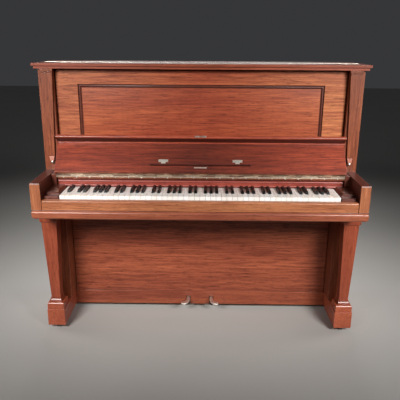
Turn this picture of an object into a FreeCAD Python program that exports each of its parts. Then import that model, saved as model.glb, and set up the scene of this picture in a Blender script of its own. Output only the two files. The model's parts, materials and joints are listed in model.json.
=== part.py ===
import FreeCAD, Part

import math
import os

# Upright piano with a leaning fallboard, inverted pilasters and tapered legs.
# Millimetres. +X is the treble side, +Y runs to the back, +Z is up.
# Depths (y) are stated from the front ends of the white keys, heights from the
# floor; place() shifts every shape so that the frame's origin is the centre of
# the overall box at floor level.

os.makedirs("parts", exist_ok=True)

# ---------------------------------------------------------------- driving dimensions

LID_HALF_WIDTH = 748.5
LID_FRONT_Y = 180.0
LID_BACK_Y = 527.0
LID_TOP_Z = 1264.0
LID_HINGE_Y = 330.0
LID_TIER = 12.0            # thickness of each of the lid's two stepped layers
LID_STEP = 7.5             # set-back of the lower layer's edge
LID_HINGE_R = 2.0

REAR_Y = 535.0
SIDE_OUTER = 728.0
SIDE_INNER = 684.0
SIDE_FRONT_Y = 206.0
STILE_INNER = 660.0        # inner edge of the upper stiles
STILE_DEPTH = 22.0
LOWER_STILE_INNER = 652.0

ARM_INNER = 682.5
ARM_OUTER = 727.0
ARM_FRONT_Y = -41.0
ARM_TOP_Z = 778.5

BED_TOP_Z = 657.0
BED_BOTTOM_Z = 621.5
BED_FRONT_Y = -57.0        # front of the key-bed moulding, foremost point of the piano
BED_BACK_Y = 378.0
MOULDING_DEPTH = 17.0
SLIP_FRONT_Y = -40.0
SLIP_BACK_Y = -12.0
SLIP_TOP_Z = 701.0

WHITE_COUNT = 52
WHITE_PITCH = 23.6
KEY_GAP = 1.1
KEY_TOP_Z = 713.0
KEY_BOTTOM_Z = 690.0
KEY_HEAD_LENGTH = 50.0
KEY_VISIBLE_LENGTH = 145.0
KEY_REAR_Y = 345.0
SHARP_WIDTH = 13.0
SHARP_TOP_WIDTH = 10.0
SHARP_HEIGHT = 12.0
BALANCE_Y = 225.0

FALL_LEAN = math.radians(37.0)   # lean of the open fallboard from the vertical
FALL_FOOT_Y = 102.0              # lower front edge of the open leaf
FALL_FOOT_Z = 794.0
FALL_LENGTH = 166.5
FALL_THICKNESS = 22.0
FALL_HALF_WIDTH = 658.0
HINGE_OFFSET = 29.0              # from the leaf's front face back to the hinge pin
LIP_LENGTH = 45.0
LIP_THICKNESS = 16.0
HINGE_PLATE = 1.2                # thickness of the fallboard's hinge plates
KNUCKLE_R = 2.6
KNUCKLE_COUNT = 20
LEDGE_ALONG = 38.0               # height of the music ledge up the leaf
LEDGE_REACH = 17.0
LEDGE_THICKNESS = 5.0
LEDGE_HALF_WIDTH = 226.0
LEDGE_HINGE_X = 168.0
LEDGE_HINGE_WIDTH = 44.0

NAME_BOARD_Y = 146.0
NAME_BOARD_BEAD = 3.5
RAIL_BOTTOM_Z = 757.0            # underside of the rail that carries the fallboard

PANEL_FRONT_Y = 230.0
PANEL_THICKNESS = 22.0
PANEL_HALF_WIDTH = 657.5
PANEL_TOP_Z = 1234.0
PANEL_BOTTOM_Z = 777.0
RECESS_HALF_WIDTH = 559.0
RECESS_TOP_Z = 1171.0
RECESS_BOTTOM_Z = 850.0
RECESS_DEPTH = 9.0

LOWER_PANEL_Y = 306.0
LOWER_PANEL_THICKNESS = 20.0
LOWER_PANEL_TOP_Z = 617.0
RAIL_TOP_Z = 100.0

TOE_BOTTOM_Z = 24.0
TOE_RAIL_TOP_Z = 105.0
TOE_FRONT_Y = 81.0
TOE_X = 698.5
TOE_WIDTH = 84.0
TOE_BLOCK_TOP_Z = 142.0
LEG_TOP_WIDTH = 70.0
LEG_FOOT_WIDTH = 43.0
LEG_CAP_Z = 556.0

PEDAL_X = 60.0
PEDAL_TOP_Z = 68.0
PEDAL_THICKNESS = 10.0
PEDAL_PIVOT_Y = 352.0
PIVOT_PIN_R = 3.0
PIVOT_CLEARANCE = 0.05
PEDAL_NOTCH = 10.5         # half-width of the bottom rail's notch round each pedal
PEDAL_NOTCH_ROOM = 2.5     # gap above the pedal in its notch
BOARD_TOP_Z = 52.0
ROD_X = 350.0
ROD_Y = 400.0
ROD_TOP_Z = 812.0
TRAP_PIVOT_X = 620.0
TRAP_Z = 106.0
TRAP_HEIGHT = 24.0
TRAP_DEPTH = 18.0

WHEEL_RADIUS = 19.0
WHEEL_WIDTH = 15.0
AXLE_RADIUS = 3.5
AXLE_CLEARANCE = 0.06
FRONT_CASTER_Y = 112.0
REAR_CASTER_Y = 490.0

STRING_Y = 419.0           # plane of the tenor and treble strings
BASS_STRING_Y = 411.0      # plane of the overstrung bass strings
BASS_NOTES = 28
NOTE_COUNT = 88
DAMPED_NOTES = 66
STRIKE_Z = 1010.0          # height at which the hammers meet the strings
STRING_TOP_Z = 1120.0
HAMMER_PIVOT_Y = 352.0
HAMMER_PIVOT_Z = 880.0
HAMMER_PIN_R = 1.5
DAMPER_PIVOT_Z = 860.0
ACTION_HALF = 640.0

ORIGIN_Y = (BED_FRONT_Y + REAR_Y) / 2.0
LID_UNDERSIDE_Z = LID_TOP_Z - 2 * LID_TIER
RAIL_HALF_WIDTH = FALL_HALF_WIDTH - 1.0
RAIL_SEAT_Z = PANEL_BOTTOM_Z - 1.0
LEG_Y = TOE_FRONT_Y + TOE_WIDTH / 2.0
TOE_INNER = TOE_X - TOE_WIDTH / 2.0
KEYS_HALF_WIDTH = WHITE_COUNT * WHITE_PITCH / 2.0

# ---------------------------------------------------------------- helpers


def place(shape):
    moved = shape.copy()
    moved.translate(FreeCAD.Vector(0, -ORIGIN_Y, 0))
    return moved


def save(name, shapes):
    solids = []
    for shape in shapes:
        solids.extend(place(shape).Solids)
    Part.makeCompound(solids).exportStep("parts/" + name + ".step")


def box(x0, x1, y0, y1, z0, z1):
    low = FreeCAD.Vector(min(x0, x1), y0, z0)
    return Part.makeBox(abs(x1 - x0), y1 - y0, z1 - z0, low)


def mirrored(shape):
    return shape.mirror(FreeCAD.Vector(0, 0, 0), FreeCAD.Vector(1, 0, 0))


def fused(shapes):
    return shapes[0].multiFuse(shapes[1:]).removeSplitter()


def polygon_face(points):
    corners = [FreeCAD.Vector(*point) for point in points]
    return Part.Face(Part.makePolygon(corners + corners[:1]))


def prism_x(outline, x0, x1):
    """Extrude a (y, z) outline along X."""
    face = polygon_face([(x0, y, z) for y, z in outline])
    return face.extrude(FreeCAD.Vector(x1 - x0, 0, 0))


def prism_y(outline, y0, y1):
    """Extrude an (x, z) outline along Y."""
    face = polygon_face([(x, y0, z) for x, z in outline])
    return face.extrude(FreeCAD.Vector(0, y1 - y0, 0))


def prism_z(outline, z0, z1):
    """Extrude an (x, y) outline along Z."""
    face = polygon_face([(x, y, z0) for x, y in outline])
    return face.extrude(FreeCAD.Vector(0, 0, z1 - z0))


def square_ring(cx, cy, width, z):
    half = width / 2.0
    corners = [(-half, -half), (half, -half), (half, half), (-half, half)]
    points = [FreeCAD.Vector(cx + dx, cy + dy, z) for dx, dy in corners]
    return Part.makePolygon(points + points[:1])


def stacked_square(cx, cy, profile):
    """Solid of square section whose (width, z) pairs rise from the first to the last."""
    wires = [square_ring(cx, cy, width, z) for width, z in profile]
    return Part.makeLoft(wires, True, True)


def cylinder_x(radius, x0, x1, y, z):
    base = FreeCAD.Vector(x0, y, z)
    return Part.makeCylinder(radius, x1 - x0, base, FreeCAD.Vector(1, 0, 0))


def cylinder_y(radius, y0, y1, x, z):
    base = FreeCAD.Vector(x, y0, z)
    return Part.makeCylinder(radius, y1 - y0, base, FreeCAD.Vector(0, 1, 0))


def leaf_frame(along, out):
    """(y, z) of a point on the open fallboard: along its face, then out from the face."""
    y = FALL_FOOT_Y + along * math.sin(FALL_LEAN) - out * math.cos(FALL_LEAN)
    z = FALL_FOOT_Z + along * math.cos(FALL_LEAN) + out * math.sin(FALL_LEAN)
    return y, z


def leaf_block(along0, along1, out0, out1, x0, x1):
    corners = [(along0, out0), (along1, out0), (along1, out1), (along0, out1)]
    return prism_x([leaf_frame(along, out) for along, out in corners], x0, x1)


HINGE_Y, HINGE_Z = leaf_frame(0, -HINGE_OFFSET)
RAIL_FRONT_Y = HINGE_Y + 2 * HINGE_PLATE + 0.3


# ---------------------------------------------------------------- case

def case_side():
    """Treble side: a thick slab with the upper and lower stiles glued inside its front edge."""
    slab = box(SIDE_INNER, SIDE_OUTER, SIDE_FRONT_Y, REAR_Y, TOE_RAIL_TOP_Z, LID_UNDERSIDE_Z)
    stile_back = SIDE_FRONT_Y + STILE_DEPTH
    upper = box(STILE_INNER, SIDE_INNER, SIDE_FRONT_Y, stile_back, ARM_TOP_Z, LID_UNDERSIDE_Z)
    lower = box(LOWER_STILE_INNER, SIDE_INNER, SIDE_FRONT_Y, LOWER_PANEL_Y + LOWER_PANEL_THICKNESS,
                TOE_RAIL_TOP_Z, BED_BOTTOM_Z)
    return fused([slab, upper, lower])


def pilaster():
    """Treble pilaster: capital, necking, shaft that narrows downwards, and a drop below it."""
    cap_top = LID_UNDERSIDE_Z
    inner_top, outer_top = 661.0, 712.0
    inner_foot, outer_foot = 677.0, 702.0
    shaft_top, shaft_foot = 1222.0, 846.0
    face = SIDE_FRONT_Y
    centre = (inner_foot + outer_foot) / 2.0
    capital = box(inner_top - 4, outer_top + 4, face - 18, face, cap_top - 12, cap_top)
    necking = box(inner_top - 1, outer_top + 1, face - 15, face, shaft_top, cap_top - 12)
    shaft = prism_y([(inner_top, shaft_top), (outer_top, shaft_top),
                     (outer_foot, shaft_foot), (inner_foot, shaft_foot)], face - 12, face)
    drop = prism_y([(centre - 12, shaft_foot), (centre + 12, shaft_foot),
                    (centre + 8, shaft_foot - 22), (centre - 8, shaft_foot - 22)], face - 18, face)
    bead = box(centre - 8, centre + 8, face - 14, face, shaft_foot - 38, shaft_foot - 24)
    stem = box(centre - 5, centre + 5, face - 9, face, shaft_foot - 24, shaft_foot - 22)
    return fused([capital, necking, shaft, drop, stem, bead])


def arm():
    """Treble arm: a level cheek from the key bed's front back to the case side."""
    edge = 4.0
    outline = [(ARM_FRONT_Y, BED_TOP_Z), (SIDE_FRONT_Y, BED_TOP_Z), (SIDE_FRONT_Y, ARM_TOP_Z),
               (ARM_FRONT_Y + edge, ARM_TOP_Z), (ARM_FRONT_Y, ARM_TOP_Z - edge)]
    return prism_x(outline, ARM_INNER, ARM_OUTER)


def key_bed():
    front = box(-ARM_OUTER + 5, ARM_OUTER - 5, BED_FRONT_Y + MOULDING_DEPTH, SIDE_FRONT_Y,
                BED_BOTTOM_Z, BED_TOP_Z)
    back = box(-SIDE_INNER, SIDE_INNER, SIDE_FRONT_Y, BED_BACK_Y, BED_BOTTOM_Z, BED_TOP_Z)
    return fused([front, back])


def key_bed_moulding():
    """Round-nosed moulding across the key bed's front, its ends rounded over below."""
    half = ARM_OUTER - 3
    nose = 5.0
    corner = 10.0
    back = BED_FRONT_Y + MOULDING_DEPTH
    outline = [(BED_FRONT_Y + nose, BED_TOP_Z), (BED_FRONT_Y, BED_TOP_Z - nose),
               (BED_FRONT_Y, BED_BOTTOM_Z + nose), (BED_FRONT_Y + nose, BED_BOTTOM_Z),
               (back, BED_BOTTOM_Z), (back, BED_TOP_Z)]
    bar = prism_x(outline, -half, half)
    for side in (-1, 1):
        wedge = prism_y([(side * half, BED_BOTTOM_Z), (side * half, BED_BOTTOM_Z + corner),
                         (side * (half - corner), BED_BOTTOM_Z)], BED_FRONT_Y, back)
        bar = bar.cut(wedge)
    return bar


def key_slip():
    nose = 4.0
    outline = [(SLIP_FRONT_Y, BED_TOP_Z), (SLIP_BACK_Y, BED_TOP_Z), (SLIP_BACK_Y, SLIP_TOP_Z),
               (SLIP_FRONT_Y + nose, SLIP_TOP_Z), (SLIP_FRONT_Y, SLIP_TOP_Z - nose)]
    return prism_x(outline, -ARM_INNER + 1.0, ARM_INNER - 1.0)


def key_block():
    """Treble key block: low pad in front, raised back, and the cheek beside the fallboard rail."""
    inner = KEYS_HALF_WIDTH + 3.0
    outer = ARM_INNER
    pad = box(inner, outer, SLIP_BACK_Y + 4, 18, BED_TOP_Z, 712)
    raised = prism_y([(inner, BED_TOP_Z), (outer, BED_TOP_Z), (outer, 724), (inner + 10, 724),
                      (inner, 714)], 18, NAME_BOARD_Y - NAME_BOARD_BEAD - 1)
    cheek = box(FALL_HALF_WIDTH + 1, outer, 127, SIDE_FRONT_Y, 724, RAIL_SEAT_Z)
    base = box(FALL_HALF_WIDTH, outer, NAME_BOARD_Y - NAME_BOARD_BEAD - 1, SIDE_FRONT_Y, BED_TOP_Z, 724)
    return fused([pad, raised, cheek, base])


def fallboard_rail():
    """Fixed rail that carries the fallboard hinge in front and the upper panel behind."""
    sink = 5.0
    outline = [(RAIL_FRONT_Y, RAIL_BOTTOM_Z), (PANEL_FRONT_Y + PANEL_THICKNESS, RAIL_BOTTOM_Z),
               (PANEL_FRONT_Y + PANEL_THICKNESS, RAIL_SEAT_Z), (RAIL_FRONT_Y + 6, RAIL_SEAT_Z),
               (RAIL_FRONT_Y + 6, RAIL_SEAT_Z - sink), (RAIL_FRONT_Y, RAIL_SEAT_Z - sink)]
    return prism_x(outline, -RAIL_HALF_WIDTH, RAIL_HALF_WIDTH)


def name_board():
    """Narrow board above the keys with two raised beads along it."""
    bottom = KEY_TOP_Z + 3.0
    board = box(-RAIL_HALF_WIDTH, RAIL_HALF_WIDTH, NAME_BOARD_Y, NAME_BOARD_Y + 14,
                bottom, RAIL_BOTTOM_Z)
    beads = []
    for centre in (721.0, 741.0):
        nose = NAME_BOARD_Y - NAME_BOARD_BEAD
        outline = [(NAME_BOARD_Y, centre - 3.5), (nose, centre - 1.5),
                   (nose, centre + 1.5), (NAME_BOARD_Y, centre + 3.5)]
        beads.append(prism_x(outline, -RAIL_HALF_WIDTH, RAIL_HALF_WIDTH))
    return fused([board] + beads)


# ---------------------------------------------------------------- legs and base

def leg():
    """Treble leg: turned-square foot, shaft that widens upwards, and a plain capital."""
    base = TOE_BLOCK_TOP_Z
    foot = stacked_square(TOE_X, LEG_Y, [(70, base), (48, base + 8), (48, base + 15)])
    neck = stacked_square(TOE_X, LEG_Y, [(40, base + 15), (40, base + 18)])
    flare = stacked_square(TOE_X, LEG_Y, [(48, base + 18), (LEG_FOOT_WIDTH, base + 28)])
    shaft = stacked_square(TOE_X, LEG_Y, [(LEG_FOOT_WIDTH, base + 28), (LEG_TOP_WIDTH, LEG_CAP_Z)])
    plate = stacked_square(TOE_X, LEG_Y, [(74, LEG_CAP_Z), (82, LEG_CAP_Z + 6), (82, LEG_CAP_Z + 22)])
    block = stacked_square(TOE_X - 8, LEG_Y, [(66, LEG_CAP_Z + 22), (66, BED_BOTTOM_Z)])
    return fused([foot, neck, flare, shaft, plate, block])


def toe_rail():
    """Treble toe: moulded block under the leg, rail back to the case, pockets for the casters."""
    half = TOE_WIDTH / 2.0
    x0, x1 = TOE_X - half, TOE_X + half
    groove_z = 107.0
    block = box(x0, x1, TOE_FRONT_Y, TOE_FRONT_Y + TOE_WIDTH, TOE_BOTTOM_Z, groove_z)
    band = stacked_square(TOE_X, LEG_Y, [(TOE_WIDTH - 9, groove_z), (TOE_WIDTH - 9, groove_z + 3)])
    top = stacked_square(TOE_X, LEG_Y, [(TOE_WIDTH - 5, groove_z + 3), (TOE_WIDTH - 5, 137),
                                        (TOE_WIDTH - 12, TOE_BLOCK_TOP_Z)])
    rail = box(x0, x1, TOE_FRONT_Y + TOE_WIDTH, REAR_Y, TOE_BOTTOM_Z, TOE_RAIL_TOP_Z)
    body = fused([block, band, top, rail])
    for y in (FRONT_CASTER_Y, REAR_CASTER_Y):
        pocket = box(TOE_X - 19, TOE_X + 19, y - 26, y + 26, TOE_BOTTOM_Z, TOE_BOTTOM_Z + 24)
        body = body.cut(pocket)
    return body


def bottom_rail():
    """Front bottom rail with a notch for each pedal."""
    rail = box(-TOE_INNER, TOE_INNER, LOWER_PANEL_Y, LOWER_PANEL_Y + 22, TOE_BOTTOM_Z, RAIL_TOP_Z)
    for side in (-1, 1):
        notch = box(side * (PEDAL_X - PEDAL_NOTCH), side * (PEDAL_X + PEDAL_NOTCH), LOWER_PANEL_Y,
                    LOWER_PANEL_Y + 22, TOE_BOTTOM_Z, PEDAL_TOP_Z + PEDAL_NOTCH_ROOM)
        rail = rail.cut(notch)
    return rail


def bottom_board():
    """Board behind the bottom rail, with the blocks and pins that the pedals turn on."""
    shapes = [box(-TOE_INNER, TOE_INNER, LOWER_PANEL_Y + 22, 448, BOARD_TOP_Z - 20, BOARD_TOP_Z)]
    for side in (-1, 1):
        for offset in (-19, 13):
            ear = box(side * PEDAL_X + offset, side * PEDAL_X + offset + 6, PEDAL_PIVOT_Y - 12,
                      PEDAL_PIVOT_Y + 12, BOARD_TOP_Z, PEDAL_TOP_Z + 6)
            shapes.append(ear)
        pivot_z = PEDAL_TOP_Z - PEDAL_THICKNESS / 2.0
        pin = cylinder_x(PIVOT_PIN_R, side * PEDAL_X - 19, side * PEDAL_X + 19, PEDAL_PIVOT_Y, pivot_z)
        post_x = side * (TRAP_PIVOT_X + 16)
        shapes.append(pin)
        shapes.append(box(post_x - 8, post_x + 8, ROD_Y - 25, ROD_Y - 12, BOARD_TOP_Z, 122))
        shapes.append(box(side * (TRAP_PIVOT_X - 6), post_x, ROD_Y - 25, ROD_Y - 12,
                          TRAP_Z - 6, TRAP_Z + 6))
        shapes.append(cylinder_y(PIVOT_PIN_R, ROD_Y - 13, ROD_Y + 12, side * TRAP_PIVOT_X, TRAP_Z))
    return fused(shapes)


def caster_housing(side, y):
    """Plate, fork and axle that hold one caster wheel in its pocket."""
    plate_z = TOE_BOTTOM_Z + 21
    x = side * TOE_X
    plate = box(x - 17, x + 17, y - 20, y + 20, plate_z, plate_z + 3)
    cheeks = []
    for offset in (-12.0, 9.0):
        cheeks.append(box(x + offset, x + offset + 3, y - 9, y + 9, WHEEL_RADIUS - 8, plate_z))
    axle = cylinder_x(AXLE_RADIUS, x - 12, x + 12, y, WHEEL_RADIUS)
    return fused([plate] + cheeks + [axle])


def caster_wheel(side, y):
    x0 = side * TOE_X - WHEEL_WIDTH / 2.0
    wheel = cylinder_x(WHEEL_RADIUS, x0, x0 + WHEEL_WIDTH, y, WHEEL_RADIUS)
    bore = cylinder_x(AXLE_RADIUS + AXLE_CLEARANCE, x0, x0 + WHEEL_WIDTH, y, WHEEL_RADIUS)
    return wheel.cut(bore)


# ---------------------------------------------------------------- lid

def lid_layer(y0, y1, front_step):
    """Two stepped layers of lid between two depths; front_step sets the lower layer back."""
    upper = box(-LID_HALF_WIDTH, LID_HALF_WIDTH, y0, y1, LID_TOP_Z - LID_TIER, LID_TOP_Z)
    half = LID_HALF_WIDTH - LID_STEP
    lower = box(-half, half, y0 + front_step, y1, LID_TOP_Z - 2 * LID_TIER, LID_TOP_Z - LID_TIER)
    return fused([upper, lower])


def hinge_groove(y0, y1):
    half = LID_HALF_WIDTH - 20
    return box(-half, half, y0, y1, LID_TOP_Z - LID_HINGE_R - 0.6, LID_TOP_Z)


def lid_front():
    board = lid_layer(LID_FRONT_Y, LID_HINGE_Y - 0.3, LID_STEP)
    return board.cut(hinge_groove(LID_HINGE_Y - 16, LID_HINGE_Y))


def lid_rear():
    board = lid_layer(LID_HINGE_Y + 0.3, LID_BACK_Y, 0)
    return board.cut(hinge_groove(LID_HINGE_Y, LID_HINGE_Y + 3.1))


def lid_hinge():
    """Continuous hinge let into the lid: barrel and the leaf on the folding front part."""
    half = LID_HALF_WIDTH - 20.5
    barrel = cylinder_x(LID_HINGE_R, -half, half, LID_HINGE_Y, LID_TOP_Z)
    leaf = box(-half, half, LID_HINGE_Y - 15.5, LID_HINGE_Y, LID_TOP_Z - 1.2, LID_TOP_Z)
    return fused([barrel, leaf])


# ---------------------------------------------------------------- panels

def upper_panel():
    """Frame with rounded top corners, a moulding round its recess, and the field behind."""
    corner = 12.0
    outline = [(-PANEL_HALF_WIDTH, PANEL_BOTTOM_Z), (PANEL_HALF_WIDTH, PANEL_BOTTOM_Z),
               (PANEL_HALF_WIDTH, PANEL_TOP_Z - corner), (PANEL_HALF_WIDTH - 4, PANEL_TOP_Z - 4),
               (PANEL_HALF_WIDTH - corner, PANEL_TOP_Z), (corner - PANEL_HALF_WIDTH, PANEL_TOP_Z),
               (4 - PANEL_HALF_WIDTH, PANEL_TOP_Z - 4), (-PANEL_HALF_WIDTH, PANEL_TOP_Z - corner)]
    back = PANEL_FRONT_Y + PANEL_THICKNESS
    frame = prism_y(outline, PANEL_FRONT_Y, back)
    opening = box(-RECESS_HALF_WIDTH, RECESS_HALF_WIDTH, PANEL_FRONT_Y, back,
                  RECESS_BOTTOM_Z, RECESS_TOP_Z)
    width = 12.0
    inner = box(width - RECESS_HALF_WIDTH, RECESS_HALF_WIDTH - width, PANEL_FRONT_Y, back,
                RECESS_BOTTOM_Z + width, RECESS_TOP_Z - width)
    field_y = PANEL_FRONT_Y + RECESS_DEPTH
    slab = box(-RECESS_HALF_WIDTH, RECESS_HALF_WIDTH, PANEL_FRONT_Y + 4, field_y,
               RECESS_BOTTOM_Z, RECESS_TOP_Z)
    field = box(-RECESS_HALF_WIDTH, RECESS_HALF_WIDTH, field_y, back - 3,
                RECESS_BOTTOM_Z, RECESS_TOP_Z)
    return [frame.cut(opening), slab.cut(inner), field]


def lower_panel():
    half = LOWER_STILE_INNER - 2.0
    return box(-half, half, LOWER_PANEL_Y, LOWER_PANEL_Y + LOWER_PANEL_THICKNESS,
               RAIL_TOP_Z + 1.0, LOWER_PANEL_TOP_Z)


# ---------------------------------------------------------------- fallboard

def fallboard_leaf():
    return leaf_block(0, FALL_LENGTH - LIP_THICKNESS, -FALL_THICKNESS, 0,
                      -FALL_HALF_WIDTH, FALL_HALF_WIDTH)


def fallboard_lip():
    """Lip along the leaf's free edge, turned forward; its front edge is the nose moulding."""
    nose = 3.0
    corners = [(FALL_LENGTH - LIP_THICKNESS, -FALL_THICKNESS), (FALL_LENGTH, -FALL_THICKNESS),
               (FALL_LENGTH, LIP_LENGTH - nose), (FALL_LENGTH - nose, LIP_LENGTH),
               (FALL_LENGTH - LIP_THICKNESS + nose, LIP_LENGTH),
               (FALL_LENGTH - LIP_THICKNESS, LIP_LENGTH - nose)]
    outline = [leaf_frame(along, out) for along, out in corners]
    return prism_x(outline, -FALL_HALF_WIDTH, FALL_HALF_WIDTH)


def knuckles(half, first):
    """Every second knuckle of the continuous hinge, starting with the first or second."""
    length = 2.0 * half / KNUCKLE_COUNT
    barrels = []
    for index in range(first, KNUCKLE_COUNT, 2):
        x0 = -half + index * length + 0.2
        barrels.append(cylinder_x(KNUCKLE_R, x0, x0 + length - 0.4, HINGE_Y, HINGE_Z))
    return barrels


def fallboard_hinge():
    """Moving plate on the leaf's foot, with its knuckles on the pin line."""
    plate = leaf_block(-HINGE_PLATE, 0, -HINGE_OFFSET + 3.0, -4.0, -FALL_HALF_WIDTH, FALL_HALF_WIDTH)
    shapes = [plate]
    length = 2.0 * FALL_HALF_WIDTH / KNUCKLE_COUNT
    for index in range(0, KNUCKLE_COUNT, 2):
        x0 = -FALL_HALF_WIDTH + index * length + 0.2
        tab = leaf_block(-HINGE_PLATE, 0, -HINGE_OFFSET, -HINGE_OFFSET + 3.0, x0, x0 + length - 0.4)
        shapes.append(tab)
    return fused(shapes + knuckles(FALL_HALF_WIDTH, 0))


def fallboard_hinge_fixed():
    """Fixed plate on the rail's front face, with the knuckles between the moving ones."""
    face = RAIL_FRONT_Y
    plate = box(-RAIL_HALF_WIDTH, RAIL_HALF_WIDTH, face - HINGE_PLATE, face, RAIL_BOTTOM_Z, HINGE_Z - 6)
    shapes = [plate]
    length = 2.0 * FALL_HALF_WIDTH / KNUCKLE_COUNT
    for index in range(1, KNUCKLE_COUNT, 2):
        x0 = -FALL_HALF_WIDTH + index * length + 0.2
        x1 = min(x0 + length - 0.4, RAIL_HALF_WIDTH)
        shapes.append(box(x0, x1, face - HINGE_PLATE, face, HINGE_Z - 6, HINGE_Z))
        shapes.append(cylinder_x(KNUCKLE_R, x0, x1, HINGE_Y, HINGE_Z))
    return fused(shapes)


def fallboard_fittings():
    """Lock plate and bolt in the lip, the ledge's catch, and the leaf-side hinge plates."""
    mid_lip = FALL_LENGTH - LIP_THICKNESS / 2.0
    shapes = []
    for x0 in (-26.0, 5.0):
        shapes.append(leaf_block(mid_lip - 4, mid_lip + 4, LIP_LENGTH, LIP_LENGTH + 0.8,
                                 x0, x0 + 21.0))
    shapes.append(leaf_block(mid_lip - 2.5, mid_lip + 2.5, LIP_LENGTH, LIP_LENGTH + 0.8, -5, 5))
    shapes.append(leaf_block(LEDGE_ALONG - 16, LEDGE_ALONG - 11, 0, 3, -29, 29))
    for side in (-1, 1):
        x0 = side * LEDGE_HINGE_X - LEDGE_HINGE_WIDTH / 2.0
        plate = leaf_block(LEDGE_ALONG + 14, LEDGE_ALONG + 27, 0, 0.8, x0, x0 + LEDGE_HINGE_WIDTH)
        strap = leaf_block(LEDGE_ALONG + 2.4, LEDGE_ALONG + 14, 0, 0.8,
                           x0 + 12, x0 + LEDGE_HINGE_WIDTH - 12)
        shapes.append(fused([plate, strap]))
    return shapes


def music_ledge():
    """Thin ledge standing out from the leaf, with its hinge barrels and plates."""
    board = leaf_block(LEDGE_ALONG - LEDGE_THICKNESS, LEDGE_ALONG, 0.4, LEDGE_REACH,
                       -LEDGE_HALF_WIDTH, LEDGE_HALF_WIDTH)
    shapes = [board]
    y, z = leaf_frame(LEDGE_ALONG + 1.0, 1.2)
    for side in (-1, 1):
        x0 = side * LEDGE_HINGE_X - LEDGE_HINGE_WIDTH / 2.0
        shapes.append(cylinder_x(1.0, x0, x0 + LEDGE_HINGE_WIDTH, y, z))
        shapes.append(leaf_block(LEDGE_ALONG, LEDGE_ALONG + 0.7, 2.6, 11, x0,
                                 x0 + LEDGE_HINGE_WIDTH))
    return shapes


# ---------------------------------------------------------------- pedals

def pedal():
    """Treble pedal: straight lever whose front end sweeps outwards into a rounded paw."""
    sweep = [(8, 425), (8, 300), (9, 272), (14, 258), (24, 250), (34, 245), (38, 236),
             (32, 226), (20, 222), (6, 229), (-4, 243), (-8, 262), (-8, 425)]
    outline = [(PEDAL_X + out, y) for out, y in sweep]
    body = prism_z(outline, PEDAL_TOP_Z - PEDAL_THICKNESS, PEDAL_TOP_Z)
    pivot_z = PEDAL_TOP_Z - PEDAL_THICKNESS / 2.0
    bore = cylinder_x(PIVOT_PIN_R + PIVOT_CLEARANCE, PEDAL_X - 8, PEDAL_X + 8, PEDAL_PIVOT_Y, pivot_z)
    return body.cut(bore)


def trap_lever():
    """Treble trap lever: bar from above the pedal's rear end out to its pivot."""
    y0, y1 = ROD_Y - TRAP_DEPTH / 2.0, ROD_Y + TRAP_DEPTH / 2.0
    underside = TRAP_Z - TRAP_HEIGHT / 2.0
    bar = box(PEDAL_X - 12, TRAP_PIVOT_X + 7, y0, y1, underside, TRAP_Z + TRAP_HEIGHT / 2.0)
    foot = box(PEDAL_X - 7, PEDAL_X + 7, ROD_Y - 2, ROD_Y + 2, PEDAL_TOP_Z + 0.5, underside)
    bore = cylinder_y(PIVOT_PIN_R + PIVOT_CLEARANCE, y0, y1, TRAP_PIVOT_X, TRAP_Z)
    return fused([bar, foot]).cut(bore)


def pedal_rod():
    """Treble rod: square dowel that stands just above the trap lever and reaches the action."""
    half = 6.0
    foot = TRAP_Z + TRAP_HEIGHT / 2.0 + 0.5
    return box(ROD_X - half, ROD_X + half, ROD_Y - half, ROD_Y + half, foot, ROD_TOP_Z)


# ---------------------------------------------------------------- keys

OCTAVE = ("c", "c_sharp", "d", "d_sharp", "e", "f", "f_sharp", "g", "g_sharp", "a", "a_sharp", "b")
WHITE_STEP = {0: 0, 2: 1, 4: 2, 5: 3, 7: 4, 9: 5, 11: 6}
SHARP_CENTRE = {1: 0.58, 3: 1.66, 6: 3.54, 8: 4.60, 10: 5.66}
FIRST_NOTE = 9             # the lowest key is an A, nine semitones above C
MIDDLE_OCTAVE = 4


def octave_left(octave):
    """Left edge of the C of an octave; the keyboard starts two white keys before the first C."""
    return -KEYS_HALF_WIDTH + (2 + 7 * (octave - 1)) * WHITE_PITCH


def sharp_x(octave, semitone):
    return octave_left(octave) + SHARP_CENTRE[semitone] * WHITE_PITCH + WHITE_PITCH / 2.0


def note_of(index):
    """(octave, semitone) of key number index, counted from 0 at the bass end."""
    return (index + FIRST_NOTE) // 12, (index + FIRST_NOTE) % 12


def key_stick(x):
    return box(x - 6.5, x + 6.5, KEY_VISIBLE_LENGTH, KEY_REAR_Y, KEY_BOTTOM_Z, KEY_TOP_Z - 6)


def white_key(octave, semitone):
    left = octave_left(octave) + WHITE_STEP[semitone] * WHITE_PITCH + KEY_GAP / 2.0
    right = left + WHITE_PITCH - KEY_GAP
    clearance = SHARP_WIDTH / 2.0 + 1.0
    tail_left, tail_right = left, right
    if (semitone - 1) in SHARP_CENTRE and not (octave == 0 and semitone == 9):
        tail_left = max(left, sharp_x(octave, semitone - 1) + clearance)
    if (semitone + 1) in SHARP_CENTRE and octave < 8:
        tail_right = min(right, sharp_x(octave, semitone + 1) - clearance)
    outline = [(left, 0), (right, 0), (right, KEY_HEAD_LENGTH), (tail_right, KEY_HEAD_LENGTH),
               (tail_right, KEY_VISIBLE_LENGTH), (tail_left, KEY_VISIBLE_LENGTH),
               (tail_left, KEY_HEAD_LENGTH), (left, KEY_HEAD_LENGTH)]
    points = []
    for point in outline:
        if point not in points:
            points.append(point)
    top = prism_z(points, KEY_BOTTOM_Z, KEY_TOP_Z)
    return fused([top, key_stick((tail_left + tail_right) / 2.0)])


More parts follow.
